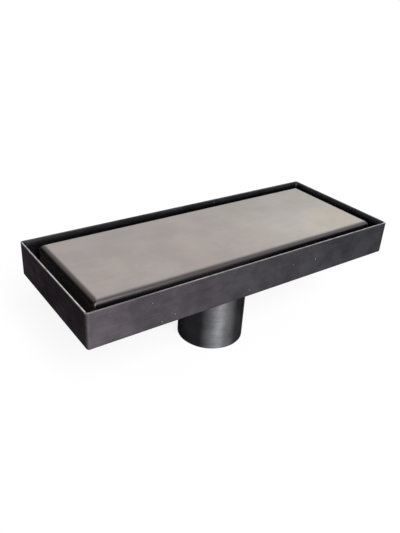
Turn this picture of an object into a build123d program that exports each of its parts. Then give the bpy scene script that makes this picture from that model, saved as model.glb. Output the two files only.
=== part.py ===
"""Tile insert floor drain: a folded steel tray on a round outlet tube, with a loose reversible cover.

The cover lies plain side up on four corner rests. Turned over, its folded recess takes a piece of floor tile.
A drop-in odour trap hangs in the outlet: a moulded barrel with a hair strainer on top, and a spring-loaded
valve that water pushes open.

Frame: millimetres, +Z up, X along the tray. The origin is the centre of the outlet's lower end.
"""

import os
from math import sqrt

from build123d import *

# Tray, folded from sheet with welded and ground corners
tray_length = 200.0
tray_width = 80.0
tray_height = 20.0
tray_sheet = 1.0
tray_corner_radius = 1.5
tray_bend_radius = 1.3
rim_edge_chamfer = 0.25
sump_drop = 2.5
sump_margin = 2.0
fall_margin = 3.0

# Outlet tube, welded under the tray
outlet_diameter = 40.0
outlet_wall = 1.0
outlet_length = 48.0
outlet_edge_chamfer = 0.3

# Cover, folded from sheet with open mitred corners
cover_gap = 6.5
cover_below_rim = 0.3
cover_sheet = 1.0
cover_bend_radius = 3.0
cover_depth = 12.0
corner_slit = 0.5

# Corner rests, welded into the tray
rest_sheet = 1.0
rest_overlap = 9.0
rest_corner_clip = 2.0

# Trap barrel and its sealing ring
trap_clearance = 1.0
trap_wall = 2.2
trap_length = 31.5
trap_flange_overhang = 4.0
trap_flange_thickness = 1.5
throat_diameter = 24.0
throat_length = 1.5
funnel_height = 3.0
ledge_width = 0.8
seat_lip_width = 1.5
seat_lip_height = 0.5
ring_drop = 8.0
ring_groove_depth = 1.1
ring_groove_slack = 0.3
ring_height = 2.6
ring_lip_depth = 0.5
ring_clearance = 0.05

# Spider that guides the valve's stem, laid on the barrel's ledge
guide_diameter = 9.0
guide_length = 8.0
guide_above_seat = 7.0
arm_count = 3
arm_thickness = 2.2
arm_height = 5.0
spider_ring_wall = 1.2
spider_clearance = 0.05

# Valve and its spring
stem_diameter = 4.0
stem_clearance = 0.1
thread_clearance = 0.05
stem_tail = 0.8
stem_chamfer = 0.4
collar_diameter = 7.0
collar_thickness = 1.0
disc_diameter = 29.0
disc_thickness = 2.0
disc_hub_diameter = 8.0
disc_hub_rise = 1.0
disc_rib_count = 6
disc_rib_thickness = 1.4
disc_rib_depth = 2.0
gasket_thickness = 1.5
nut_across_flats = 7.0
nut_thickness = 3.2
spring_length = 10.0
spring_wire = 0.6
spring_coil_diameter = 6.4
spring_active_turns = 3
spring_end_gap = 0.06
cap_diameter = 10.0
cap_thickness = 3.0
cap_skin = 1.0
cap_edge_chamfer = 0.6

# Hair strainer, pressed from sheet
strainer_sheet = 0.8
strainer_depth = 4.0
strainer_rim_diameter = 40.0
strainer_clearance = 0.6
strainer_bend = 1.2
strainer_hole_width = 2.6
strainer_ring_step = 4.0
strainer_rings = 3

# Levels above the outlet's lower end
tray_bottom = outlet_length
rim_level = tray_bottom + tray_height
sump_underside = tray_bottom - sump_drop
sump_floor = sump_underside + tray_sheet
cover_top = rim_level - cover_below_rim
cover_edge = cover_top - cover_depth
flange_top = sump_floor + trap_flange_thickness
seat_level = sump_floor - trap_length
lip_level = seat_level - seat_lip_height
gasket_underside = lip_level - gasket_thickness
disc_underside = gasket_underside - disc_thickness
hub_top = lip_level + disc_hub_rise
collar_top = hub_top + collar_thickness
guide_bottom = seat_level + guide_above_seat
guide_top = guide_bottom + guide_length
ledge_level = guide_top - arm_height
cap_underside = guide_top + spring_length
stem_top = cap_underside + cap_thickness - cap_skin
nut_underside = disc_underside - nut_thickness
stem_bottom = nut_underside - stem_tail

# Plan sizes that follow from the pieces they fit
tray_inner_length = tray_length - 2 * tray_sheet
tray_inner_width = tray_width - 2 * tray_sheet
cover_length = tray_inner_length - 2 * cover_gap
cover_width = tray_inner_width - 2 * cover_gap
rest_leg = 2 * cover_gap + rest_overlap
bore_radius = outlet_diameter / 2 - outlet_wall
flange_radius = bore_radius + trap_flange_overhang
sump_size = 2 * (flange_radius + sump_margin)
barrel_radius = bore_radius - trap_clearance
barrel_inner_radius = barrel_radius - trap_wall
groove_radius = barrel_radius - ring_groove_depth
ring_outer_radius = bore_radius - ring_clearance
ring_level = sump_floor - ring_drop
throat_radius = throat_diameter / 2
stem_radius = stem_diameter / 2

corners = [
    ("front_left", -1, -1),
    ("front_right", 1, -1),
    ("back_left", -1, 1),
    ("back_right", 1, 1),
]


def tray_form(inset, top):
    """The tray's folded form, its faces moved in by inset: 0 for the outside, the sheet for the inside."""
    floor = tray_bottom + inset
    with BuildPart() as form:
        with BuildSketch(Plane.XY.offset(floor)):
            RectangleRounded(tray_length - 2 * inset, tray_width - 2 * inset, tray_corner_radius - inset)
        extrude(amount=top - floor)
        fillet(form.faces().sort_by(Axis.Z)[0].edges(), tray_bend_radius - inset)
        # the floor falls from a flat margin along the walls to a square sump round the outlet
        fall_inset = 2 * (tray_sheet + fall_margin)
        with BuildSketch(Plane.XY.offset(floor)):
            Rectangle(tray_length - fall_inset, tray_width - fall_inset)
        with BuildSketch(Plane.XY.offset(floor - sump_drop)):
            Rectangle(sump_size, sump_size)
        loft(ruled=True)
    return form.part


def folded_cap(length, width, top, bottom, radius):
    """A box with its upper edges bent over at radius, the bends meeting in a mitre at each corner."""
    middle = (top + bottom) / 2
    with BuildPart() as cap:
        with BuildSketch(Plane.YZ) as across:
            with Locations((0, middle)):
                Rectangle(width, top - bottom)
            fillet(across.vertices().group_by(Axis.Y)[-1], radius)
        extrude(amount=length / 2, both=True)
        with BuildSketch(Plane.XZ) as along:
            with Locations((0, middle)):
                Rectangle(length, top - bottom)
            fillet(along.vertices().group_by(Axis.Y)[-1], radius)
        extrude(amount=width / 2, both=True, mode=Mode.INTERSECT)
    return cap.part


# Tray
with BuildPart() as tray:
    add(tray_form(0, rim_level))
    add(tray_form(tray_sheet, rim_level + tray_sheet), mode=Mode.SUBTRACT)
    chamfer(tray.faces().sort_by(Axis.Z)[-1].edges(), rim_edge_chamfer)
    with Locations((0, 0, sump_floor)):
        Hole(bore_radius)
tray.part.label = "tray"

# Outlet tube
with BuildPart() as outlet_tube:
    with BuildSketch():
        Circle(outlet_diameter / 2)
        Circle(bore_radius, mode=Mode.SUBTRACT)
    extrude(amount=sump_underside)
    chamfer(outlet_tube.faces().sort_by(Axis.Z)[0].edges(), outlet_edge_chamfer)
outlet_tube.part.label = "outlet_tube"

# Cover: outer form less the recess, then an open slit where the folded edges meet at each corner
with BuildPart() as tile_cover:
    add(folded_cap(cover_length, cover_width, cover_top, cover_edge, cover_bend_radius))
    add(
        folded_cap(
            cover_length - 2 * cover_sheet,
            cover_width - 2 * cover_sheet,
            cover_top - cover_sheet,
            cover_edge - cover_sheet,
            cover_bend_radius - cover_sheet,
        ),
        mode=Mode.SUBTRACT,
    )
    slit_reach = cover_bend_radius / sqrt(2)
    for _, side_x, side_y in corners:
        place = Location(
            (side_x * cover_length / 2, side_y * cover_width / 2, cover_edge),
            (0, 0, 45 * side_x * side_y),
        )
        with Locations(place):
            Box(
                2 * slit_reach,
                corner_slit,
                cover_depth,
                align=(Align.CENTER, Align.CENTER, Align.MIN),
                mode=Mode.SUBTRACT,
            )
tile_cover.part.label = "tile_cover"

# Corner rests: triangular plates under the cover's corners
corner_rests = []
for place_name, side_x, side_y in corners:
    corner_x = side_x * tray_inner_length / 2
    corner_y = side_y * tray_inner_width / 2
    with BuildPart() as corner_rest:
        with BuildSketch(Plane.XY.offset(cover_edge - rest_sheet)):
            with BuildLine():
                Polyline(
                    (corner_x - side_x * rest_corner_clip, corner_y),
                    (corner_x - side_x * rest_leg, corner_y),
                    (corner_x, corner_y - side_y * rest_leg),
                    (corner_x, corner_y - side_y * rest_corner_clip),
                    close=True,
                )
            make_face()
        extrude(amount=rest_sheet)
    corner_rest.part.label = f"corner_rest_{place_name}"
    corner_rests.append(corner_rest.part)

# Trap barrel: flange, ring groove, ledge, funnel and seat lip in one turned section
with BuildPart() as trap_barrel:
    funnel_bottom = seat_level + throat_length
    groove_half = (ring_height + ring_groove_slack) / 2
    lip_radius = throat_radius + seat_lip_width
    ledge_radius = barrel_inner_radius - ledge_width
    with BuildSketch(Plane.XZ):
        with BuildLine():
            Polyline(
                (barrel_inner_radius, flange_top),
                (flange_radius, flange_top),
                (flange_radius, sump_floor),
                (barrel_radius, sump_floor),
                (barrel_radius, ring_level + groove_half),
                (groove_radius, ring_level + groove_half),
                (groove_radius, ring_level - groove_half),
                (barrel_radius, ring_level - groove_half),
                (barrel_radius, seat_level),
                (lip_radius, seat_level),
                (lip_radius, lip_level),
                (throat_radius, lip_level),
                (throat_radius, funnel_bottom),
                (ledge_radius, funnel_bottom + funnel_height),
                (ledge_radius, ledge_level),
                (barrel_inner_radius, ledge_level),
                close=True,
            )
        make_face()
    revolve(axis=Axis.Z)
trap_barrel.part.label = "trap_barrel"

# Guide spider: a ring on the ledge, arms, and the boss that the stem slides in
with BuildPart() as guide_spider:
    spider_radius = barrel_inner_radius - spider_clearance
    with BuildSketch(Plane.XY.offset(ledge_level)):
        Circle(spider_radius)
        Circle(spider_radius - spider_ring_wall, mode=Mode.SUBTRACT)
        with PolarLocations(0, arm_count):
            Rectangle(spider_radius - spider_ring_wall / 2, arm_thickness, align=(Align.MIN, Align.CENTER))
    extrude(amount=arm_height)
    with BuildSketch(Plane.XY.offset(guide_bottom)):
        Circle(guide_diameter / 2)
    extrude(amount=guide_length)
    with Locations((0, 0, guide_top)):
        Hole(stem_radius + stem_clearance)
guide_spider.part.label = "guide_spider"

# Sealing ring in the barrel's groove, with a lip against the outlet's bore
with BuildPart() as trap_seal_ring:
    ring_top = ring_level + ring_height / 2
    ring_bottom = ring_level - ring_height / 2
    valley_radius = ring_outer_radius - ring_lip_depth
    with BuildSketch(Plane.XZ):
        with BuildLine():
            Polyline(
                (groove_radius, ring_bottom),
                (valley_radius, ring_bottom),
                (ring_outer_radius, ring_level),
                (valley_radius, ring_top),
                (groove_radius, ring_top),
                close=True,
            )
        make_face()
    revolve(axis=Axis.Z)
trap_seal_ring.part.label = "trap_seal_ring"

# Hair strainer: a shallow cup with six-sided holes, whose rim lies on the trap's flange
with BuildPart() as hair_strainer:
    cup_radius = barrel_inner_radius - strainer_clearance
    cup_floor = flange_top + strainer_sheet - strainer_depth
    rim_top = flange_top + strainer_sheet
    with BuildSketch(Plane.XZ) as cup_section:
        with BuildLine():
            Polyline(
                (0, cup_floor),
                (cup_radius, cup_floor),
                (cup_radius, flange_top),
                (strainer_rim_diameter / 2, flange_top),
                (strainer_rim_diameter / 2, rim_top),
                (cup_radius - strainer_sheet, rim_top),
                (cup_radius - strainer_sheet, cup_floor + strainer_sheet),
                (0, cup_floor + strainer_sheet),
                close=True,
            )
        make_face()
        bend = cup_section.vertices().filter_by(lambda v: abs(v.X - cup_radius) < strainer_sheet / 2)
        chamfer(bend.sort_by(Axis.Y)[0], strainer_bend)
    revolve(axis=Axis.Z)
    with BuildSketch(Plane.XY.offset(cup_floor)):
        RegularPolygon(strainer_hole_width / 2, 6, major_radius=False)
        for ring in range(1, strainer_rings):
            with PolarLocations(ring * strainer_ring_step, 6 * ring):
                RegularPolygon(strainer_hole_width / 2, 6, major_radius=False)
    extrude(amount=strainer_sheet, mode=Mode.SUBTRACT)
hair_strainer.part.label = "hair_strainer"

# Valve disc: a moulded plate with a hub, and ribs underneath
with BuildPart() as valve_disc:
    with BuildSketch(Plane.XY.offset(disc_underside)):
        Circle(disc_diameter / 2)
    extrude(amount=disc_thickness)
    with BuildSketch(Plane.XY.offset(disc_underside)):
        Circle(disc_hub_diameter / 2)
    extrude(amount=hub_top - disc_underside)
    rib_start = nut_across_flats / sqrt(3) + disc_rib_thickness
    rib_end = disc_diameter / 2 - disc_rib_thickness
    with BuildSketch(Plane.XY.offset(disc_underside)):
        with PolarLocations((rib_start + rib_end) / 2, disc_rib_count):
            Rectangle(rib_end - rib_start, disc_rib_thickness)
    extrude(amount=-disc_rib_depth)
    with Locations((0, 0, hub_top)):
        Hole(stem_radius + thread_clearance)
valve_disc.part.label = "valve_disc"

# Silicone gasket on the disc
with BuildPart() as valve_gasket:
    with BuildSketch(Plane.XY.offset(gasket_underside)):
        Circle(disc_diameter / 2)
        Circle(disc_hub_diameter / 2 + thread_clearance, mode=Mode.SUBTRACT)
    extrude(amount=gasket_thickness)
valve_gasket.part.label = "valve_gasket"

# Stem, turned with a collar that clamps the disc
with BuildPart() as valve_stem:
    with BuildSketch(Plane.XY.offset(stem_bottom)):
        Circle(stem_radius)
    extrude(amount=stem_top - stem_bottom)
    chamfer(valve_stem.edges().filter_by(GeomType.CIRCLE), stem_chamfer)
    with BuildSketch(Plane.XY.offset(hub_top)):
        Circle(collar_diameter / 2)
    extrude(amount=collar_thickness)
valve_stem.part.label = "valve_stem"

# Nut under the disc
with BuildPart() as valve_nut:
    with BuildSketch(Plane.XY.offset(nut_underside)):
        RegularPolygon(nut_across_flats / 2, 6, major_radius=False)
        Circle(stem_radius + thread_clearance, mode=Mode.SUBTRACT)
    extrude(amount=nut_thickness)
valve_nut.part.label = "valve_nut"

# Cap on the stem's upper end, which the spring pushes up
with BuildPart() as spring_cap:
    with BuildSketch(Plane.XY.offset(cap_underside)):
        Circle(cap_diameter / 2)
    extrude(amount=cap_thickness)
    chamfer(spring_cap.edges().sort_by(Axis.Z)[-1], cap_edge_chamfer)
    with BuildSketch(Plane.XY.offset(cap_underside)):
        Circle(stem_radius + thread_clearance)
    extrude(amount=cap_thickness - cap_skin, mode=Mode.SUBTRACT)
spring_cap.part.label = "spring_cap"

# Return spring between the guide and the cap, with a closed turn at each end
with BuildPart() as return_spring:
    end_rise = spring_wire + spring_end_gap
    active_rise = spring_length - spring_wire - 2 * end_rise
    active_pitch = active_rise / spring_active_turns
    coil_radius = spring_coil_diameter / 2
    coil_bottom = guide_top + spring_wire / 2
    with BuildLine() as coil:
        Helix(end_rise, end_rise, coil_radius, center=(0, 0, coil_bottom))
        Helix(active_pitch, active_rise, coil_radius, center=(0, 0, coil_bottom + end_rise))
        Helix(end_rise, end_rise, coil_radius, center=(0, 0, coil_bottom + end_rise + active_rise))
    wire_path = coil.wires()[0]
    with BuildSketch(Plane(wire_path @ 0, z_dir=wire_path % 0)):
        RegularPolygon(spring_wire / 2, 6)
    sweep(path=wire_path, is_frenet=True)
return_spring.part.label = "return_spring"

pieces = [
    tray.part,
    outlet_tube.part,
    tile_cover.part,
    *corner_rests,
    trap_barrel.part,
    guide_spider.part,
    trap_seal_ring.part,
    hair_strainer.part,
    valve_disc.part,
    valve_gasket.part,
    valve_stem.part,
    valve_nut.part,
    spring_cap.part,
    return_spring.part,
]

os.makedirs("parts", exist_ok=True)
for piece in pieces:
    export_step(piece, f"parts/{piece.label}.step")
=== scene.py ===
"""Looks of a tile insert floor drain: satin steel cover in a dark gunmetal tray on a round outlet.

Metres, +Z up, X along the tray, the outlet's lower end on the floor at the origin.
"""

from math import cos, pi, radians, sin

import bmesh
import bpy
from mathutils import Matrix, Vector


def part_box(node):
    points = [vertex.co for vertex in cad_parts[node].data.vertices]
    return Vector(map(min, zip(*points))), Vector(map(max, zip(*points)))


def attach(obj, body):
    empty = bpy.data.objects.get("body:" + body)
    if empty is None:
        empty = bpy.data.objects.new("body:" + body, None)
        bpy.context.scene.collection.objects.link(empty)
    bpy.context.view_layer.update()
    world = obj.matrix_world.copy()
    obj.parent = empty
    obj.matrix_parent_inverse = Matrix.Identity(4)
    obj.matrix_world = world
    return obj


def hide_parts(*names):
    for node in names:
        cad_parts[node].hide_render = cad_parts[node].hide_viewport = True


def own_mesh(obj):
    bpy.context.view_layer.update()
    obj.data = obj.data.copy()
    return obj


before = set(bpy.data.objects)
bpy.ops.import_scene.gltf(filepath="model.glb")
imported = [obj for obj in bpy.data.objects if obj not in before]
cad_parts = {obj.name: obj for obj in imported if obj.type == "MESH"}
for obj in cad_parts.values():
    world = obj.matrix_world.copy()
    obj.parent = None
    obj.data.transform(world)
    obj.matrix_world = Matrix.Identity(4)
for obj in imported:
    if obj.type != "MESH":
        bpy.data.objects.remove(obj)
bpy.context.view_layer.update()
scene = bpy.context.scene
scene.view_settings.view_transform = "Standard"

MM = 0.001
tray_low, tray_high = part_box("tray")
cover_low, cover_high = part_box("tile_cover")
rest_low, rest_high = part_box("corner_rest_front_left")
spring_low, spring_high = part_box("return_spring")
tube_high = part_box("outlet_tube")[1]
RIM_LEVEL = tray_high.z
SHEET = 1.0 * MM
TUBE_RADIUS = tube_high.x
INNER_X = tray_high.x - SHEET
INNER_Y = tray_high.y - SHEET

# Camera: its place and turn, from the tray's vanishing lines
CAMERA_FROM_RIM_CENTRE = Vector((-184.5, -231.9, 139.3)) * MM
CAMERA_YAW = 36.89
CAMERA_PITCH = 28.80
CAMERA_ROLL = 3.69
CAMERA_LENS = 38.76

# Studio
KEY_AZIMUTH = -10.0
KEY_ELEVATION = 42.0
KEY_STRENGTH = 2.0
KEY_ANGLE = 30.0
STRIP_AZIMUTH = -5.0
STRIP_DISTANCE = 0.9
STRIP_WIDTH = 0.36
STRIP_HEIGHT = 0.9
STRIP_POWER = 6.0
ROOM_STRENGTH = 0.30
FLOOR_COLOUR = 0.20
FLOOR_LIFT = 0.84
FLOOR_HALF = 12.0
BACKDROP_COLOUR = 0.60
BACKDROP_LIFT = 0.60
BACKDROP_DISTANCE = 1.3
BACKDROP_HALF_WIDTH = 1.3
BACKDROP_HEIGHT = 2.2


def mesh_from(name, build, smooth=True):
    """A mesh object whose faces build(bm) adds to an empty bmesh."""
    bm = bmesh.new()
    build(bm)
    bmesh.ops.recalc_face_normals(bm, faces=bm.faces)
    mesh = bpy.data.meshes.new(name)
    bm.to_mesh(mesh)
    bm.free()
    for face in mesh.polygons:
        face.use_smooth = smooth
    piece = bpy.data.objects.new(name, mesh)
    scene.collection.objects.link(piece)
    return piece


# Shader building blocks


def feed(tree, socket, value):
    """Sets a socket to a number or an RGB colour, or links another socket to it."""
    if isinstance(value, bpy.types.NodeSocket):
        tree.links.new(value, socket)
    elif isinstance(value, tuple):
        socket.default_value = (*value, 1.0)
    else:
        socket.default_value = value


def add_math(tree, operation, first, second=None, clamp=False):
    """A Math node fed by sockets or numbers; returns its output."""
    node = tree.nodes.new("ShaderNodeMath")
    node.operation = operation
    node.use_clamp = clamp
    feed(tree, node.inputs[0], first)
    if second is not None:
        feed(tree, node.inputs[1], second)
    return node.outputs[0]


def all_of(tree, first, *others):
    """Where every one of the masks holds."""
    total = first
    for mask in others:
        total = add_math(tree, "MULTIPLY", total, mask, clamp=True)
    return total


def add_noise(tree, vector, scale, detail=3.0, roughness=0.55):
    """A noise texture; returns its 0 to 1 output."""
    node = tree.nodes.new("ShaderNodeTexNoise")
    node.inputs["Detail"].default_value = detail
    node.inputs["Roughness"].default_value = roughness
    feed(tree, node.inputs["Vector"], vector)
    feed(tree, node.inputs["Scale"], scale)
    return node.outputs["Fac"]


def add_range(tree, value, low, high, to_low=0.0, to_high=1.0):
    """Maps low..high to to_low..to_high, clamped, with a smooth step."""
    node = tree.nodes.new("ShaderNodeMapRange")
    node.interpolation_type = "SMOOTHSTEP"
    names = ("Value", "From Min", "From Max", "To Min", "To Max")
    for name, number in zip(names, (value, low, high, to_low, to_high)):
        feed(tree, node.inputs[name], number)
    return node.outputs["Result"]


def place_of(tree):
    """The place in the drain's own frame."""
    return tree.nodes.new("ShaderNodeTexCoord").outputs["Object"]


def normal_of(tree):
    """The way that the surface faces."""
    return tree.nodes.new("ShaderNodeTexCoord").outputs["Normal"]


def axes_of(tree, vector):
    """A vector's X, Y and Z."""
    node = tree.nodes.new("ShaderNodeSeparateXYZ")
    tree.links.new(vector, node.inputs[0])
    return node.outputs


def vector_math(tree, operation, first, second):
    """A Vector Math node fed by sockets or a triple; returns its outputs."""
    node = tree.nodes.new("ShaderNodeVectorMath")
    node.operation = operation
    tree.links.new(first, node.inputs[0])
    if isinstance(second, tuple):
        node.inputs[1].default_value = second
    else:
        tree.links.new(second, node.inputs[1])
    return node.outputs


def joined(tree, *axes):
    """A vector of three sockets."""
    node = tree.nodes.new("ShaderNodeCombineXYZ")
    for socket, axis in zip(node.inputs, axes):
        tree.links.new(axis, socket)
    return node.outputs[0]


def drawn_lines(tree, *axis_scales):
    """Noise that is fine along some axes and long along the others."""
    stretched = vector_math(tree, "MULTIPLY", place_of(tree), joined(tree, *axis_scales))[0]
    return add_noise(tree, stretched, 1.0, detail=2.0, roughness=0.7)


# Shader node groups for the effects that several finishes share


def new_group(name, inputs, outputs):
    """A shader node group with float inputs {name: default} and float outputs.

    Returns the group, the sockets that bring its inputs and the sockets that take its outputs.
    """
    group = bpy.data.node_groups.new(name, "ShaderNodeTree")
    for socket_name, value in inputs.items():
        socket = group.interface.new_socket(name=socket_name, in_out="INPUT", socket_type="NodeSocketFloat")
        socket.default_value = value
    for socket_name in outputs:
        group.interface.new_socket(name=socket_name, in_out="OUTPUT", socket_type="NodeSocketFloat")
    return group, group.nodes.new("NodeGroupInput").outputs, group.nodes.new("NodeGroupOutput").inputs


def build_brushed_grain():
    """Fine lines along X, or along Y on faces that look along X."""
    group, source, sink = new_group("brushed_grain", {"Along": 60.0, "Across": 5200.0}, ["Grain"])
    along, across = source["Along"], source["Across"]
    turned = add_math(group, "ABSOLUTE", axes_of(group, normal_of(group))["X"])
    mix = group.nodes.new("ShaderNodeMix")
    feed(group, mix.inputs["Factor"], add_range(group, turned, 0.6, 0.8))
    feed(group, mix.inputs["A"], drawn_lines(group, along, across, across))
    feed(group, mix.inputs["B"], drawn_lines(group, across, along, across))
    feed(group, sink["Grain"], mix.outputs["Result"])
    return group


def build_turned_grain():
    """Fine lines round the Z axis."""
    group, source, sink = new_group("turned_grain", {"Along": 60.0, "Across": 4200.0}, ["Grain"])
    feed(group, sink["Grain"], drawn_lines(group, source["Along"], source["Along"], source["Across"]))
    return group


def build_satin_mottle():
    """Broad cloudy patches of the finish, and smaller blotches in them."""
    inputs = {"Patch Scale": 14.0, "Blotch Scale": 70.0}
    group, source, sink = new_group("satin_mottle", inputs, ["Patch", "Blotch"])
    patch = add_noise(group, place_of(group), source["Patch Scale"], 3.0, 0.5)
    blotch = add_noise(group, place_of(group), source["Blotch Scale"], 4.0, 0.6)
    feed(group, sink["Patch"], add_range(group, patch, 0.34, 0.66))
    feed(group, sink["Blotch"], add_range(group, blotch, 0.3, 0.7))
    return group


def build_near_edges():
    """Broken wear along a tray's upright edges, and along the inner edge of its front and left rim a broken
    mask where wear and a painted highlight are laid.
    """
    inputs = {
        "Half X": 0.1,
        "Half Y": 0.04,
        "Level": 0.068,
        "Sheet": SHEET,
        "Reach": 0.0005,
        "Break Scale": 260.0,
    }
    group, source, sink = new_group("near_edges", inputs, ["Corner", "Front Rim", "Left Rim"])
    place = axes_of(group, place_of(group))
    half_x, half_y, sheet, reach = (source[name] for name in ("Half X", "Half Y", "Sheet", "Reach"))

    def closeness(value, limit, span):
        gap = add_math(group, "ABSOLUTE", add_math(group, "SUBTRACT", limit, value))
        return add_range(group, add_math(group, "DIVIDE", gap, span), 0.4, 1.0, 1.0, 0.0)

    out_x = add_math(group, "ABSOLUTE", place["X"])
    out_y = add_math(group, "ABSOLUTE", place["Y"])
    inner_x = closeness(out_x, add_math(group, "SUBTRACT", half_x, sheet), sheet)
    inner_y = closeness(out_y, add_math(group, "SUBTRACT", half_y, sheet), sheet)
    near_top = closeness(place["Z"], source["Level"], reach)
    front = add_math(group, "LESS_THAN", place["Y"], 0.0)
    left = add_math(group, "LESS_THAN", place["X"], 0.0)
    corner_span = add_math(group, "MULTIPLY", sheet, 2.5)
    off_corner = add_math(group, "SUBTRACT", 1.0, closeness(out_y, half_y, corner_span))
    broken = add_noise(group, place_of(group), source["Break Scale"], 3.0, 0.65)
    # Breaks up both the corner wear and the painted highlight on the rims
    wear_and_highlight = add_range(group, broken, 0.30, 0.62, 0.55, 1.0)
    corner = all_of(group, closeness(out_x, half_x, reach), closeness(out_y, half_y, reach), wear_and_highlight)
    feed(group, sink["Corner"], corner)
    feed(group, sink["Front Rim"], all_of(group, near_top, inner_y, front, wear_and_highlight))
    feed(group, sink["Left Rim"], all_of(group, near_top, inner_x, left, off_corner, wear_and_highlight))
    return group


def build_wall_faces():
    """Masks of a box's outer ends and outer sides, and the way along it from 0 to 1."""
    inputs = {"Half X": 0.1, "Half Y": 0.04, "Turn Start": 0.6, "Turn End": 0.8}
    group, source, sink = new_group("wall_faces", inputs, ["End", "Side", "Along"])
    place = axes_of(group, place_of(group))
    normal = axes_of(group, normal_of(group))
    for axis, size, mask in (("X", "Half X", "End"), ("Y", "Half Y", "Side")):
        share = add_math(group, "DIVIDE", place[axis], source[size])
        outward = add_math(group, "MULTIPLY", share, normal[axis])
        feed(group, sink[mask], add_range(group, outward, source["Turn Start"], source["Turn End"]))
    share = add_math(group, "DIVIDE", place["X"], source["Half X"])
    feed(group, sink["Along"], add_range(group, share, -1.1, 1.1))
    return group


def build_pale_specks():
    """Few small pale specks."""
    inputs = {"Spacing Scale": 90.0, "Size": 0.03, "Share": 0.12}
    group, source, sink = new_group("pale_specks", inputs, ["Speck"])
    cells = group.nodes.new("ShaderNodeTexVoronoi")
    feed(group, cells.inputs["Vector"], place_of(group))
    feed(group, cells.inputs["Scale"], source["Spacing Scale"])
    pick = group.nodes.new("ShaderNodeSeparateColor")
    feed(group, pick.inputs[0], cells.outputs["Color"])
    chosen = add_math(group, "LESS_THAN", pick.outputs[0], source["Share"])
    size = add_math(group, "MULTIPLY", source["Size"], pick.outputs[1])
    small = add_math(group, "LESS_THAN", cells.outputs["Distance"], size)
    feed(group, sink["Speck"], all_of(group, chosen, small))
    return group


def build_chip_at():
    """One ragged spot of a given radius round a place."""
    group, source, sink = new_group("chip_at", {"X": 0.0, "Y": 0.0, "Z": 0.0, "Radius": 0.0004}, ["Chip"])
    centre = joined(group, *(source[axis] for axis in "XYZ"))
    gap = vector_math(group, "DISTANCE", place_of(group), centre)["Value"]
    share = add_math(group, "DIVIDE", gap, source["Radius"])
    roughening = add_math(group, "SUBTRACT", add_noise(group, place_of(group), 1500.0), 0.5)
    ragged = add_math(group, "ADD", share, roughening)
    feed(group, sink["Chip"], add_range(group, ragged, 0.5, 1.1, 1.0, 0.0))
    return group


BRUSHED_GRAIN = build_brushed_grain()
TURNED_GRAIN = build_turned_grain()
SATIN_MOTTLE = build_satin_mottle()
NEAR_EDGES = build_near_edges()
WALL_FACES = build_wall_faces()
PALE_SPECKS = build_pale_specks()
CHIP_AT = build_chip_at()


# Tones of the cover
# Painted light: the top runs from the darker COVER_LEFT to the paler COVER_RIGHT
COVER_LEFT = (0.352, 0.311, 0.304)
COVER_RIGHT = (0.440, 0.409, 0.372)
COVER_COOL_TINT = (0.985, 0.995, 1.010)
COVER_WARM_TINT = (1.010, 1.000, 0.935)
# Painted shade: the front and back folds and the ends are painted dark where they drop beside the tray; the
# ends are darkest just below the bend and lighter again at the foot
COVER_SIDE_LEFT = (0.080, 0.073, 0.077)
COVER_SIDE_RIGHT = (0.118, 0.110, 0.116)
COVER_END_BEND = (0.090, 0.077, 0.071)
COVER_END_DARK = (0.026, 0.022, 0.021)
COVER_END_FOOT = (0.280, 0.250, 0.240)
COVER_CUT_EDGE = (0.500, 0.470, 0.450)
COVER_BEND_DROP = (0.2 * MM, 1.5 * MM)
COVER_FOOT_DROP = (1.5 * MM, 3.5 * MM)

# Tones of the tray
# Painted light and shade: the inside is painted darker at the left and paler at the right, and painted
# shade darkens it to TRAY_INSIDE_DEEP below the rim
TRAY_INSIDE_LEFT = (0.064, 0.062, 0.068)
TRAY_INSIDE_RIGHT = (0.124, 0.122, 0.134)
TRAY_INSIDE_DEEP = (0.018, 0.017, 0.019)
TRAY_DARKENING_DEPTH = (0.3 * MM, 4.0 * MM)
# Painted reflection: the outside of the long walls is painted paler at the left and darker at the right
TRAY_OUTSIDE_LEFT = (0.091, 0.080, 0.092)
TRAY_OUTSIDE_RIGHT = (0.057, 0.058, 0.064)
# Painted shade: the end walls are painted darker than the long walls, darkest at the front
TRAY_END_FRONT = (0.044, 0.039, 0.042)
TRAY_END_BACK = (0.058, 0.051, 0.057)
TRAY_CORNER_WEAR = (0.170, 0.160, 0.170)
# Painted highlight with wear: the bright inner edge of the left rim and of the front rim, paler from left
# to right along the front; the back and right rims get none
LEFT_RIM = (0.800, 0.780, 0.780)
FRONT_RIM_LEFT = (0.240, 0.230, 0.240)
FRONT_RIM_MIDDLE = (0.620, 0.600, 0.610)
FRONT_RIM_RIGHT = (0.840, 0.820, 0.830)
BARE_SPECK = (0.300, 0.290, 0.290)
BARE_CHIP = (0.420, 0.400, 0.390)
COATING_GLANCE = (0.300, 0.290, 0.300)

# Tones of the tube: a painted highlight down its front and back, paler towards the tray as painted light, a
# painted paler right side, and the ways that the highlit front and the paler right side face
TUBE_SIDES = (0.024, 0.023, 0.025)
TUBE_RIGHT_PAINTED_LIGHT = (0.056, 0.056, 0.060)
TUBE_FRONT_LOW = (0.130, 0.131, 0.141)
TUBE_FRONT_HIGH = (0.190, 0.180, 0.190)
TUBE_CHIP_BROWN = (0.300, 0.220, 0.170)
TUBE_FRONT_WAY = (-0.36, -0.93, 0.0)
TUBE_RIGHT_WAY = (0.78, -0.62, 0.0)

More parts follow.
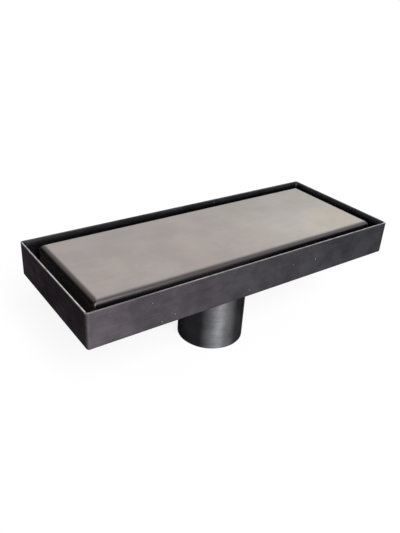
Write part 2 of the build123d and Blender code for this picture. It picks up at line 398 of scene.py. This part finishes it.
# Chips in the dark coating, with their radius, in millimetres
TRAY_CHIPS = [
    (-61.0, -40.0, 50.8, 0.28),
    (-53.5, -40.0, 52.6, 0.28),
    (-66.4, -40.0, 63.0, 0.24),
    (-7.1, -40.0, 52.1, 0.28),
    (23.6, -40.0, 59.0, 0.28),
    (40.8, -40.0, 58.2, 0.40),
    (-99.2, 26.0, 68.3, 1.20),
    (-99.2, -26.7, 68.3, 0.95),
]
TUBE_CHIP = (-19.9, 1.8, 10.5, 0.40)

# Tones of the hidden pieces, darkest and palest
REST_TONES = ((0.050, 0.046, 0.048), (0.066, 0.064, 0.066))
PLASTIC_TONES = ((0.660, 0.665, 0.650), (0.720, 0.715, 0.690))
RUBBER_TONES = ((0.018, 0.018, 0.018), (0.030, 0.029, 0.028))
SILICONE_TONES = ((0.400, 0.100, 0.050), (0.470, 0.130, 0.070))
STAINLESS_TONES = ((0.500, 0.500, 0.490), (0.580, 0.575, 0.560))

# Lowest and highest roughness
COVER_GLOSS = (0.34, 0.46)
TRAY_GLOSS = (0.36, 0.50)
TUBE_GLOSS = (0.40, 0.50)
REST_GLOSS = (0.40, 0.55)
PLASTIC_GLOSS = (0.42, 0.56)
RUBBER_GLOSS = (0.55, 0.75)
SILICONE_GLOSS = (0.45, 0.60)
STAINLESS_GLOSS = (0.22, 0.36)

# Stretch of the highlights across the grain, and relief of the surfaces
COVER_STREAK = 0.45
TRAY_STREAK = 0.55
TUBE_STREAK = 0.85
QUARTER_TURN = 0.25
GRAIN_HEIGHT = 0.012 * MM
TURNING_HEIGHT = 0.010 * MM
MOULD_HEIGHT = 0.020 * MM
PLASTIC_SCALES = (60.0, 900.0)
RUBBER_SCALES = (120.0, 1400.0)


# Materials


def new_finish(name):
    """A material with only its Principled shader; returns it, its tree and the shader's inputs."""
    material = bpy.data.materials.new(name)
    material.use_nodes = True
    tree = material.node_tree
    return material, tree, tree.nodes["Principled BSDF"].inputs


def place_group(tree, group, **values):
    """A group node with its inputs set; underscores in the names stand for spaces."""
    node = tree.nodes.new("ShaderNodeGroup")
    node.node_tree = group
    for key, value in values.items():
        node.inputs[key.replace("_", " ")].default_value = value
    return node.outputs


def mix_colours(tree, factor, first, second, blend="MIX"):
    """A colour mix of sockets or RGB tuples; returns its output."""
    node = tree.nodes.new("ShaderNodeMix")
    node.data_type = "RGBA"
    node.blend_type = blend
    feed(tree, node.inputs[0], factor)
    feed(tree, node.inputs[6], first)
    feed(tree, node.inputs[7], second)
    return node.outputs[2]


def darkened(tree, colour, value, low, high):
    """The colour times a value mapped from 0..1 to low..high."""
    grey = tree.nodes.new("ShaderNodeCombineColor")
    level = add_range(tree, value, 0.0, 1.0, low, high)
    for socket in grey.inputs:
        feed(tree, socket, level)
    return mix_colours(tree, 1.0, colour, grey.outputs[0], "MULTIPLY")


def add_bump(tree, shader, height, distance, strength):
    """Raises the surface by a height map."""
    bump = tree.nodes.new("ShaderNodeBump")
    bump.inputs["Strength"].default_value = strength
    bump.inputs["Distance"].default_value = distance
    feed(tree, bump.inputs["Height"], height)
    feed(tree, shader["Normal"], bump.outputs["Normal"])


def add_tangent(tree, shader, axis, amount):
    """Stretches highlights across the grain, which runs round the axis."""
    tangent = tree.nodes.new("ShaderNodeTangent")
    tangent.direction_type = "RADIAL"
    tangent.axis = axis
    feed(tree, shader["Tangent"], tangent.outputs["Tangent"])
    shader["Anisotropic"].default_value = amount
    shader["Anisotropic Rotation"].default_value = QUARTER_TURN


def chip_mask(tree, chips):
    """Where any of the chips lies."""
    total = None
    for chip in chips:
        x, y, z, radius = (size * MM for size in chip)
        mask = place_group(tree, CHIP_AT, X=x, Y=y, Z=z, Radius=radius)["Chip"]
        total = mask if total is None else add_math(tree, "MAXIMUM", total, mask)
    return total


def grained_metal(tree, shader, grain, roughness):
    """Metal whose gloss follows the grain; roughness is its lowest and highest."""
    shader["Metallic"].default_value = 1.0
    feed(tree, shader["Roughness"], add_range(tree, grain, 0.25, 0.75, *roughness))


def satin_cover_finish():
    """Warm grey brushed steel with painted light, darker at the left and paler at the right, painted shade
    on its folds and ends, bare at the slits' cut edges.
    """
    material, tree, shader = new_finish("satin_cover_steel")
    half = {"Half_X": cover_high.x, "Half_Y": cover_high.y}
    faces = place_group(tree, WALL_FACES, Turn_Start=0.0, Turn_End=0.5, **half)
    folds = place_group(tree, WALL_FACES, Turn_Start=0.15, Turn_End=0.65, **half)
    mottle = place_group(tree, SATIN_MOTTLE, Patch_Scale=16.0, Blotch_Scale=60.0)
    hue = place_group(tree, SATIN_MOTTLE, Patch_Scale=26.0, Blotch_Scale=60.0)["Patch"]
    grain = place_group(tree, BRUSHED_GRAIN, Along=45.0, Across=3800.0)["Grain"]
    edges = place_group(tree, NEAR_EDGES, Level=RIM_LEVEL, Reach=1.2 * MM, Break_Scale=400.0, **half)
    place = axes_of(tree, place_of(tree))
    drop = add_math(tree, "SUBTRACT", cover_high.z, place["Z"])

    cloud = add_range(tree, mottle["Patch"], 0.0, 1.0, -0.14, 0.14)
    # Painted light: the top is painted paler from left to right, with random cloudiness
    way = add_math(tree, "ADD", add_math(tree, "POWER", faces["Along"], 1.9), cloud, clamp=True)
    tint = mix_colours(tree, hue, COVER_COOL_TINT, COVER_WARM_TINT)
    tinted = mix_colours(tree, 1.0, mix_colours(tree, way, COVER_LEFT, COVER_RIGHT), tint, "MULTIPLY")
    blotched = darkened(tree, tinted, mottle["Blotch"], 0.96, 1.03)
    lined = darkened(tree, blotched, grain, 0.86, 1.14)
    # Painted light: towards the right the top is painted paler at the front and darker at the back
    forward = add_range(tree, place["Y"], cover_high.y, cover_low.y, -0.5, 0.5)
    slope = add_math(tree, "ADD", add_math(tree, "MULTIPLY", forward, faces["Along"]), 0.5)
    top = darkened(tree, lined, slope, 0.90, 1.10)

    # Painted shade on the folds and the ends
    side = mix_colours(tree, folds["Along"], COVER_SIDE_LEFT, COVER_SIDE_RIGHT)
    bend = mix_colours(tree, add_range(tree, drop, *COVER_BEND_DROP), COVER_END_BEND, COVER_END_DARK)
    end = mix_colours(tree, add_range(tree, drop, *COVER_FOOT_DROP), bend, COVER_END_FOOT)
    sided = mix_colours(tree, folds["Side"], top, side)
    ended = mix_colours(tree, faces["End"], sided, end)
    feed(tree, shader["Base Color"], mix_colours(tree, edges["Corner"], ended, COVER_CUT_EDGE))
    grained_metal(tree, shader, grain, COVER_GLOSS)
    add_tangent(tree, shader, "Y", COVER_STREAK)
    add_bump(tree, shader, grain, GRAIN_HEIGHT, 0.6)
    return material


def coated_steel(tree, shader, tone, grain_group, roughness, streak=TRAY_STREAK):
    """Grain, mottling and pale specks on a dark satin coating; returns its colour."""
    mottle = place_group(tree, SATIN_MOTTLE, Patch_Scale=18.0, Blotch_Scale=85.0)
    grain = place_group(tree, grain_group, Along=40.0, Across=3400.0)["Grain"]
    specks = place_group(tree, PALE_SPECKS, Spacing_Scale=75.0, Size=0.05, Share=0.05)["Speck"]
    clouded = darkened(tree, tone, mottle["Patch"], 0.90, 1.10)
    blotched = darkened(tree, clouded, mottle["Blotch"], 0.84, 1.14)
    lined = darkened(tree, blotched, grain, 0.72, 1.28)
    grained_metal(tree, shader, grain, roughness)
    feed(tree, shader["Specular Tint"], COATING_GLANCE)
    add_tangent(tree, shader, "Z", streak)
    add_bump(tree, shader, grain, GRAIN_HEIGHT, 0.6)
    return mix_colours(tree, specks, lined, BARE_SPECK)


def gunmetal_tray_finish():
    """Painted shade on the end walls and deep inside, painted light across the inside and outside of the
    long walls, bare worn corners, and wear with a painted highlight on the front and left rim.
    """
    material, tree, shader = new_finish("gunmetal_tray")
    half = {"Half_X": tray_high.x, "Half_Y": tray_high.y}
    faces = place_group(tree, WALL_FACES, **half)
    edges = place_group(tree, NEAR_EDGES, Level=RIM_LEVEL, Reach=0.6 * MM, **half)
    place = axes_of(tree, place_of(tree))
    depth = add_math(tree, "SUBTRACT", RIM_LEVEL, place["Z"])
    along = faces["Along"]

    # Painted light along the inside, and painted shade deepening below the rim
    upper = mix_colours(tree, along, TRAY_INSIDE_LEFT, TRAY_INSIDE_RIGHT)
    inside = mix_colours(tree, add_range(tree, depth, *TRAY_DARKENING_DEPTH), upper, TRAY_INSIDE_DEEP)
    # Painted reflection along the outside of the long walls
    outside = mix_colours(tree, along, TRAY_OUTSIDE_LEFT, TRAY_OUTSIDE_RIGHT)
    # Painted shade on the end walls, a little paler towards the back
    backward = add_range(tree, place["Y"], 0.5 * tray_low.y, tray_high.y)
    end_wall = mix_colours(tree, backward, TRAY_END_FRONT, TRAY_END_BACK)
    walls = mix_colours(tree, faces["End"], mix_colours(tree, faces["Side"], inside, outside), end_wall)
    coated = coated_steel(tree, shader, walls, BRUSHED_GRAIN, TRAY_GLOSS)

    # Painted highlight with wear on the front and left rims
    painted_light = mix_colours(tree, add_range(tree, along, 0.06, 0.24), FRONT_RIM_LEFT, FRONT_RIM_MIDDLE)
    painted_light = mix_colours(tree, add_range(tree, along, 0.65, 0.95), painted_light, FRONT_RIM_RIGHT)
    wear_and_highlight = mix_colours(tree, edges["Corner"], coated, TRAY_CORNER_WEAR)
    wear_and_highlight = mix_colours(tree, edges["Left Rim"], wear_and_highlight, LEFT_RIM)
    wear_and_highlight = mix_colours(tree, edges["Front Rim"], wear_and_highlight, painted_light)
    chipped = mix_colours(tree, chip_mask(tree, TRAY_CHIPS), wear_and_highlight, BARE_CHIP)
    feed(tree, shader["Base Color"], chipped)
    return material


def gunmetal_tube_finish():
    """Turned gunmetal with a painted highlight down its front and back, painted light making the front
    paler towards the tray, and a painted paler right side.
    """
    material, tree, shader = new_finish("gunmetal_tube")

    def facing(way):
        return vector_math(tree, "DOT_PRODUCT", normal_of(tree), way)["Value"]

    # Painted light: the front is painted paler towards the tray
    upward = add_range(tree, axes_of(tree, place_of(tree))["Z"], 0.35 * tube_high.z, 0.75 * tube_high.z)
    front = mix_colours(tree, upward, TUBE_FRONT_LOW, TUBE_FRONT_HIGH)
    # Painted highlight down the front and, mirrored, the back of the tube
    painted_front_highlight = add_range(tree, add_math(tree, "ABSOLUTE", facing(TUBE_FRONT_WAY)), 0.82, 1.0)
    # Painted light: the right side is painted paler
    painted_light = add_range(tree, facing(TUBE_RIGHT_WAY), 0.58, 0.95)
    sides = mix_colours(tree, painted_light, TUBE_SIDES, TUBE_RIGHT_PAINTED_LIGHT)
    tone = mix_colours(tree, painted_front_highlight, sides, front)
    coated = coated_steel(tree, shader, tone, TURNED_GRAIN, TUBE_GLOSS, TUBE_STREAK)
    chipped = mix_colours(tree, chip_mask(tree, [TUBE_CHIP]), coated, TUBE_CHIP_BROWN)
    feed(tree, shader["Base Color"], chipped)
    return material


def gunmetal_rest_finish():
    """Dark coating on the hidden corner rests."""
    material, tree, shader = new_finish("gunmetal_rests")
    mottle = place_group(tree, SATIN_MOTTLE, Patch_Scale=40.0, Blotch_Scale=200.0)
    tone = mix_colours(tree, mottle["Blotch"], *REST_TONES)
    feed(tree, shader["Base Color"], coated_steel(tree, shader, tone, BRUSHED_GRAIN, REST_GLOSS))
    return material


def moulded_finish(name, scales, tones, roughness, relief):
    """Plastic or rubber with a finely pitted skin; scales are those of its patches and its pits."""
    material, tree, shader = new_finish(name)
    patch_scale, pit_scale = scales
    mottle = place_group(tree, SATIN_MOTTLE, Patch_Scale=patch_scale, Blotch_Scale=pit_scale)
    feed(tree, shader["Base Color"], mix_colours(tree, mottle["Patch"], *tones))
    feed(tree, shader["Roughness"], add_range(tree, mottle["Blotch"], 0.0, 1.0, *roughness))
    add_bump(tree, shader, mottle["Blotch"], MOULD_HEIGHT, relief)
    return material


def plain_steel_finish():
    """Bright stainless with fine turning lines."""
    material, tree, shader = new_finish("plain_stainless")
    mottle = place_group(tree, SATIN_MOTTLE, Patch_Scale=80.0, Blotch_Scale=400.0)
    grain = place_group(tree, TURNED_GRAIN, Along=200.0, Across=5200.0)["Grain"]
    tone = mix_colours(tree, mottle["Patch"], *STAINLESS_TONES)
    feed(tree, shader["Base Color"], darkened(tree, tone, grain, 0.9, 1.1))
    grained_metal(tree, shader, grain, STAINLESS_GLOSS)
    add_bump(tree, shader, grain, TURNING_HEIGHT, 0.4)
    return material


COVER_STEEL = satin_cover_finish()
TRAY_STEEL = gunmetal_tray_finish()
TUBE_STEEL = gunmetal_tube_finish()
REST_STEEL = gunmetal_rest_finish()
TRAP_PLASTIC = moulded_finish("moulded_plastic", PLASTIC_SCALES, PLASTIC_TONES, PLASTIC_GLOSS, 0.4)
SEAL_RUBBER = moulded_finish("black_rubber", RUBBER_SCALES, RUBBER_TONES, RUBBER_GLOSS, 0.5)
GASKET_SILICONE = moulded_finish("gasket_silicone", RUBBER_SCALES, SILICONE_TONES, SILICONE_GLOSS, 0.5)
PLAIN_STEEL = plain_steel_finish()

FINISH_OF_NODE = {
    "tray": TRAY_STEEL,
    "outlet_tube": TUBE_STEEL,
    "tile_cover": COVER_STEEL,
    "corner_rest_front_left": REST_STEEL,
    "corner_rest_front_right": REST_STEEL,
    "corner_rest_back_left": REST_STEEL,
    "corner_rest_back_right": REST_STEEL,
    "trap_barrel": TRAP_PLASTIC,
    "guide_spider": TRAP_PLASTIC,
    "trap_seal_ring": SEAL_RUBBER,
    "hair_strainer": PLAIN_STEEL,
    "valve_disc": TRAP_PLASTIC,
    "valve_gasket": GASKET_SILICONE,
    "valve_stem": PLAIN_STEEL,
    "valve_nut": PLAIN_STEEL,
    "spring_cap": TRAP_PLASTIC,
    "return_spring": PLAIN_STEEL,
}
for node_name, finish in FINISH_OF_NODE.items():
    cad_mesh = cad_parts[node_name].data
    cad_mesh.materials.clear()
    cad_mesh.materials.append(finish)


# Welds

CORNERS = [(side_x, side_y) for side_x in (-1, 1) for side_y in (-1, 1)]
OUTLET_WELD_LEG = 1.5 * MM
OUTLET_WELD_ROOT = TUBE_RADIUS - 0.05 * MM
OUTLET_WELD_RIPPLES = 60
OUTLET_WELD_WAVES = 7
CORNER_WELD_LEG = 1.55 * MM
CORNER_WELD_RIPPLE = 0.04 * MM
CORNER_WELD_TOP = RIM_LEVEL - 1.2 * MM
CORNER_WELD_FOOT = rest_high.z + 0.3 * MM
TACK_PLACES = (6.0 * MM, 15.0 * MM)
TACK_LENGTH = 2.2 * MM
TACK_WIDTH = 1.0 * MM
TACK_HEIGHT = 0.9 * MM


def skin_between(bm, near, far):
    """A closed band of faces between two rings of as many points."""
    count = len(near)
    for k in range(count):
        after = (k + 1) % count
        bm.faces.new((near[k], near[after], far[after], far[k]))


def outlet_weld(bm):
    """The rippled bead between the tube and the tray's underside."""
    steps, points = 240, 7
    rows = []
    for step in range(steps):
        turn = 2 * pi * step / steps
        out = Vector((cos(turn), sin(turn), 0.0))
        ripple = 1.0 + 0.10 * sin(turn * OUTLET_WELD_RIPPLES) + 0.06 * sin(turn * OUTLET_WELD_WAVES + 1.0)
        leg = OUTLET_WELD_LEG * ripple
        row = []
        for k in range(points):
            swing = (pi / 2) * k / (points - 1)
            bulge = leg * (1.0 + 0.10 * sin(2 * swing))
            level = tube_high.z - bulge * sin(swing)
            reach = out * (OUTLET_WELD_ROOT + bulge * cos(swing))
            row.append(bm.verts.new(reach + Vector((0.0, 0.0, level))))
        row.append(bm.verts.new(out * OUTLET_WELD_ROOT + Vector((0.0, 0.0, tube_high.z))))
        rows.append(row)
    for near, far in zip(rows, rows[1:] + rows[:1]):
        skin_between(bm, near, far)


def corner_welds(bm):
    """An upright hollow bead down each inside corner of the tray."""
    steps, points = 26, 5
    for side_x, side_y in CORNERS:
        corner = Vector((side_x * INNER_X, side_y * INNER_Y, 0.0))
        rows = []
        for step in range(steps + 1):
            level = CORNER_WELD_FOOT + (CORNER_WELD_TOP - CORNER_WELD_FOOT) * step / steps
            leg = CORNER_WELD_LEG + CORNER_WELD_RIPPLE * sin(step * 1.9)
            row = [bm.verts.new(corner + Vector((0.0, 0.0, level)))]
            for k in range(points):
                swing = (pi / 2) * k / (points - 1)
                reach = leg * (1.0 - 0.28 * sin(2 * swing))
                inward = Vector((-side_x * reach * cos(swing), -side_y * reach * sin(swing), level))
                row.append(bm.verts.new(corner + inward))
            rows.append(row)
        for near, far in zip(rows, rows[1:]):
            skin_between(bm, near, far)
        bm.faces.new(rows[0])
        bm.faces.new(rows[-1])


def rest_tacks(bm):
    """Short tack beads under the corner rests, along the walls."""
    for side_x, side_y in CORNERS:
        for along in TACK_PLACES:
            for x, y, size in (
                (INNER_X - along, INNER_Y, (TACK_LENGTH, TACK_WIDTH, TACK_HEIGHT)),
                (INNER_X, INNER_Y - along, (TACK_WIDTH, TACK_LENGTH, TACK_HEIGHT)),
            ):
                centre = Vector((side_x * x, side_y * y, rest_low.z))
                place = Matrix.Translation(centre) @ Matrix.Diagonal((*size, 1.0))
                bmesh.ops.create_uvsphere(bm, u_segments=14, v_segments=8, radius=1.0, matrix=place)


for weld_name, build_weld, weld_finish, weld_slot in (
    ("outlet_weld", outlet_weld, TUBE_STEEL, "tube_steel"),
    ("corner_welds", corner_welds, TRAY_STEEL, "dark_steel"),
    ("rest_tacks", rest_tacks, REST_STEEL, "rest_steel"),
):
    weld = mesh_from(weld_name, build_weld)
    weld.data.materials.append(weld_finish)
    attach(weld, "drain")


# Return spring in round wire; the real spring shortens as the valve opens

WIRE_RADIUS = 0.29 * MM
WIRE_HALF = 0.30 * MM
END_TURN_RISE = 0.66 * MM
ACTIVE_TURNS = 3
SPRING_LENGTH = spring_high.z - spring_low.z


def return_coil(bm):
    """Active turns between a closed turn at each end."""
    radius = spring_high.x - WIRE_HALF
    start = spring_low.z + WIRE_HALF
    rise = SPRING_LENGTH - 2 * WIRE_HALF - 2 * END_TURN_RISE
    turns, steps, points = ACTIVE_TURNS + 2, 44, 12
    rows = []
    for step in range(turns * steps + 1):
        turn = step / steps
        level = start + END_TURN_RISE * (min(turn, 1.0) + max(turn - ACTIVE_TURNS - 1, 0.0))
        level += rise * min(max(turn - 1.0, 0.0) / ACTIVE_TURNS, 1.0)
        out = Vector((cos(2 * pi * turn), sin(2 * pi * turn), 0.0))
        row = []
        for k in range(points):
            swing = 2 * pi * k / points
            height = Vector((0.0, 0.0, level + WIRE_RADIUS * sin(swing)))
            row.append(bm.verts.new(out * (radius + WIRE_RADIUS * cos(swing)) + height))
        rows.append(row)
    for near, far in zip(rows, rows[1:]):
        skin_between(bm, near, far)
    bm.faces.new(rows[0])
    bm.faces.new(rows[-1])


coil = mesh_from("return_coil", return_coil)
coil.data.materials.append(PLAIN_STEEL)
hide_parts("return_spring")
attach(coil, "drain")
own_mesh(coil)


# Studio: pale floor with an upright backdrop behind it, soft key and strip lights and a dim room


def seen_directly(tree):
    """1 for rays from the camera and for reflected or transmitted ones, else 0."""
    path = tree.nodes.new("ShaderNodeLightPath").outputs
    seen = add_math(tree, "ADD", path["Is Camera Ray"], path["Is Glossy Ray"], clamp=True)
    return add_math(tree, "ADD", seen, path["Is Transmission Ray"], clamp=True)


def white_stage_material(name, colour, lift):
    """Pale matt paper, clear from behind; lift makes it white to the eye and in reflections."""
    material = bpy.data.materials.new(name)
    material.use_nodes = True
    tree = material.node_tree
    tree.nodes.clear()
    paper = tree.nodes.new("ShaderNodeBsdfDiffuse")
    feed(tree, paper.inputs["Color"], (colour, colour, colour))
    glow = tree.nodes.new("ShaderNodeEmission")
    feed(tree, glow.inputs["Strength"], add_math(tree, "MULTIPLY", seen_directly(tree), lift))
    both = tree.nodes.new("ShaderNodeAddShader")
    feed(tree, both.inputs[0], paper.outputs[0])
    feed(tree, both.inputs[1], glow.outputs[0])
    clear = tree.nodes.new("ShaderNodeBsdfTransparent")
    side = tree.nodes.new("ShaderNodeNewGeometry")
    one_sided = tree.nodes.new("ShaderNodeMixShader")
    feed(tree, one_sided.inputs["Fac"], side.outputs["Backfacing"])
    feed(tree, one_sided.inputs[1], both.outputs[0])
    feed(tree, one_sided.inputs[2], clear.outputs[0])
    output = tree.nodes.new("ShaderNodeOutputMaterial")
    feed(tree, output.inputs["Surface"], one_sided.outputs[0])
    return material


def floor_sheet(bm):
    """A wide level sheet under the outlet."""
    corners = [(-1, -1), (1, -1), (1, 1), (-1, 1)]
    bm.faces.new([bm.verts.new((x * FLOOR_HALF, y * FLOOR_HALF, 0.0)) for x, y in corners])


def backdrop_sheet(bm):
    """Upright sheet across the camera's line of sight, behind the drain."""
    away = Vector((sin(radians(CAMERA_YAW)), cos(radians(CAMERA_YAW)), 0.0))
    half = Vector((away.y, -away.x, 0.0)) * BACKDROP_HALF_WIDTH
    low = away * BACKDROP_DISTANCE
    rise = Vector((0.0, 0.0, BACKDROP_HEIGHT))
    bm.faces.new([bm.verts.new(p) for p in (low - half, low + half, low + half + rise, low - half + rise)])


floor = mesh_from("studio_floor", floor_sheet, smooth=False)
floor.data.materials.append(white_stage_material("floor_paper", FLOOR_COLOUR, FLOOR_LIFT))
backdrop = mesh_from("studio_backdrop", backdrop_sheet, smooth=False)
backdrop.data.materials.append(white_stage_material("backdrop_paper", BACKDROP_COLOUR, BACKDROP_LIFT))

room = bpy.data.worlds.new("studio_room")
room.use_nodes = True
room_tree = room.node_tree
room_light = room_tree.nodes["Background"].inputs
room_lift = add_math(room_tree, "MULTIPLY", seen_directly(room_tree), 1.0 - ROOM_STRENGTH)
feed(room_tree, room_light["Color"], (1.0, 1.0, 1.0))
feed(room_tree, room_light["Strength"], add_math(room_tree, "ADD", room_lift, ROOM_STRENGTH))
scene.world = room

key_lamp = bpy.data.lights.new("key_light", "SUN")
key_lamp.energy = KEY_STRENGTH
key_lamp.angle = radians(KEY_ANGLE)
key = bpy.data.objects.new("key_light", key_lamp)
key.rotation_euler = (radians(90.0 - KEY_ELEVATION), 0.0, radians(KEY_AZIMUTH))
scene.collection.objects.link(key)

strip_lamp = bpy.data.lights.new("strip_light", "AREA")
strip_lamp.shape = "RECTANGLE"
strip_lamp.size = STRIP_WIDTH
strip_lamp.size_y = STRIP_HEIGHT
strip_lamp.energy = STRIP_POWER
strip = bpy.data.objects.new("strip_light", strip_lamp)
strip_turn = radians(STRIP_AZIMUTH)
strip.location = (STRIP_DISTANCE * sin(strip_turn), -STRIP_DISTANCE * cos(strip_turn), STRIP_HEIGHT / 2)
strip.rotation_euler = (radians(90.0), 0.0, strip_turn)
scene.collection.objects.link(strip)

camera_data = bpy.data.cameras.new("camera")
camera_data.lens = CAMERA_LENS
camera = bpy.data.objects.new("camera", camera_data)
aim = (
    Matrix.Rotation(-radians(CAMERA_YAW), 4, "Z")
    @ Matrix.Rotation(radians(90.0 - CAMERA_PITCH), 4, "X")
    @ Matrix.Rotation(radians(CAMERA_ROLL), 4, "Z")
)
camera.matrix_world = Matrix.Translation(Vector((0.0, 0.0, RIM_LEVEL)) + CAMERA_FROM_RIM_CENTRE) @ aim
scene.collection.objects.link(camera)
scene.camera = camera

bpy.context.view_layer.update()
